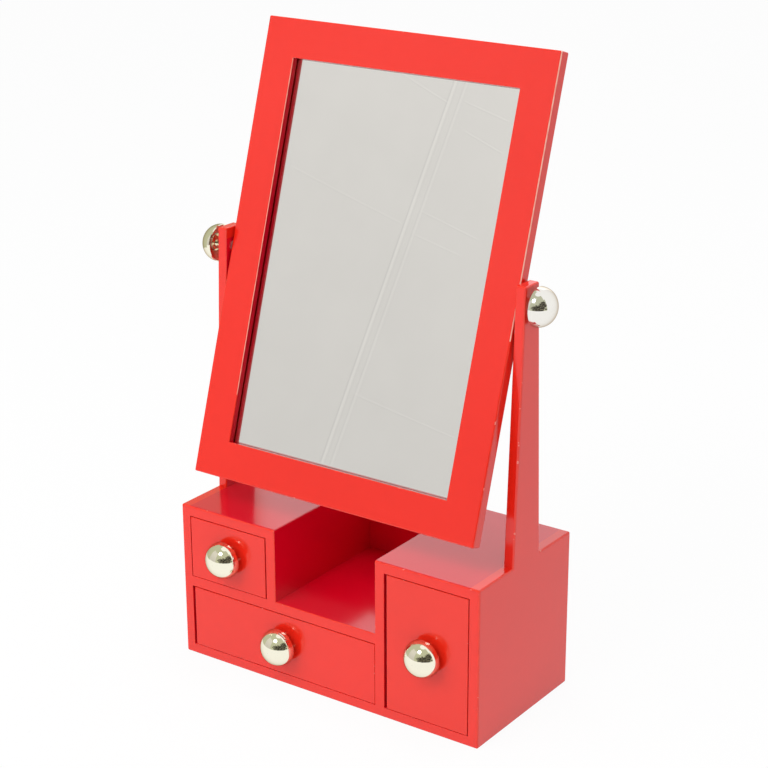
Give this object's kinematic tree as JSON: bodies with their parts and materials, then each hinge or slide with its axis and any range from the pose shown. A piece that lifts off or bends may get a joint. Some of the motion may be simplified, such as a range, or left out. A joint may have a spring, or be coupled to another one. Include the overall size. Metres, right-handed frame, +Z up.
{
  "type": "table mirror",
  "caption": "Framed mirror that tilts between two posts on a low case with an open tray and drawers; round knobs pull the drawers and clamp the tilt.",
  "frame": {"origin": "on the surface that the case stands on, under the middle of the case", "axes": "+X to the right seen from the front, +Y to the back, +Z up; the drawers open towards -Y"},
  "size_m": [0.3408, 0.1584, 0.5352],
  "materials": {
    "red_lacquer": "glossy red lacquer over smooth wood, arrises slightly rounded",
    "drawer_wood": "plain pale wood, sanded, unlacquered",
    "drawer_sheet": "thin smooth plywood sheet",
    "backing_sheet": "smooth brown hardboard",
    "mirror_glass": "silvered float glass",
    "knob_metal": "polished pale brass",
    "sleeve_brass": "plain turned brass",
    "steel": "zinc-plated steel"
  },
  "bodies": {
    "case": {"side_left": "red_lacquer", "side_right": "red_lacquer", "bottom_board": "red_lacquer", "divider_board": "red_lacquer", "partition_short": "red_lacquer", "partition_tall": "red_lacquer", "top_left": "red_lacquer", "top_right": "red_lacquer", "back_panel": "red_lacquer", "back_pins": "steel"},
    "mirror": {"frame_stile_left": "red_lacquer", "frame_stile_right": "red_lacquer", "frame_rail_top": "red_lacquer", "frame_rail_bottom": "red_lacquer", "mirror_glass": "mirror_glass", "backing_board": "backing_sheet", "backing_screws": "steel", "pivot_sleeve_left": "sleeve_brass", "pivot_sleeve_right": "sleeve_brass", "spacer_washer_left": "steel", "spacer_washer_right": "steel"},
    "clamp_left": {"clamp_knob_left": "knob_metal", "clamp_stud_left": "steel", "clamp_washer_left": "steel"},
    "clamp_right": {"clamp_knob_right": "knob_metal", "clamp_stud_right": "steel", "clamp_washer_right": "steel"},
    "small_drawer": {"small_drawer_front": "red_lacquer", "small_drawer_side_left": "drawer_wood", "small_drawer_side_right": "drawer_wood", "small_drawer_back": "drawer_wood", "small_drawer_bottom": "drawer_sheet", "small_drawer_knob": "knob_metal", "small_drawer_knob_screw": "steel"},
    "lower_drawer": {"lower_drawer_front": "red_lacquer", "lower_drawer_side_left": "drawer_wood", "lower_drawer_side_right": "drawer_wood", "lower_drawer_back": "drawer_wood", "lower_drawer_bottom": "drawer_sheet", "lower_drawer_knob": "knob_metal", "lower_drawer_knob_screw": "steel"},
    "tall_drawer": {"tall_drawer_front": "red_lacquer", "tall_drawer_side_left": "drawer_wood", "tall_drawer_side_right": "drawer_wood", "tall_drawer_back": "drawer_wood", "tall_drawer_bottom": "drawer_sheet", "tall_drawer_knob": "knob_metal", "tall_drawer_knob_screw": "steel"}
  },
  "joints": [
    {"name": "mirror_tilt", "type": "hinge", "parent": "case", "child": "mirror", "pos_m": [0, 0, 0.3508], "axis": [1, 0, 0], "continuous": true},
    {"name": "small_drawer_slide", "type": "slide", "parent": "case", "child": "small_drawer", "axis": [0, -1, 0], "range_m": [0, 0.105]},
    {"name": "lower_drawer_slide", "type": "slide", "parent": "case", "child": "lower_drawer", "axis": [0, -1, 0], "range_m": [0, 0.105]},
    {"name": "tall_drawer_slide", "type": "slide", "parent": "case", "child": "tall_drawer", "axis": [0, -1, 0], "range_m": [0, 0.105]},
    {"name": "clamp_knob_left_turn", "type": "hinge", "parent": "mirror", "child": "clamp_left", "pos_m": [-0.15, 0, 0.3508], "axis": [-1, 0, 0], "range_deg": [0, 360]},
    {"name": "clamp_knob_right_turn", "type": "hinge", "parent": "mirror", "child": "clamp_right", "pos_m": [0.15, 0, 0.3508], "axis": [1, 0, 0], "range_deg": [0, 360]}
  ]
}
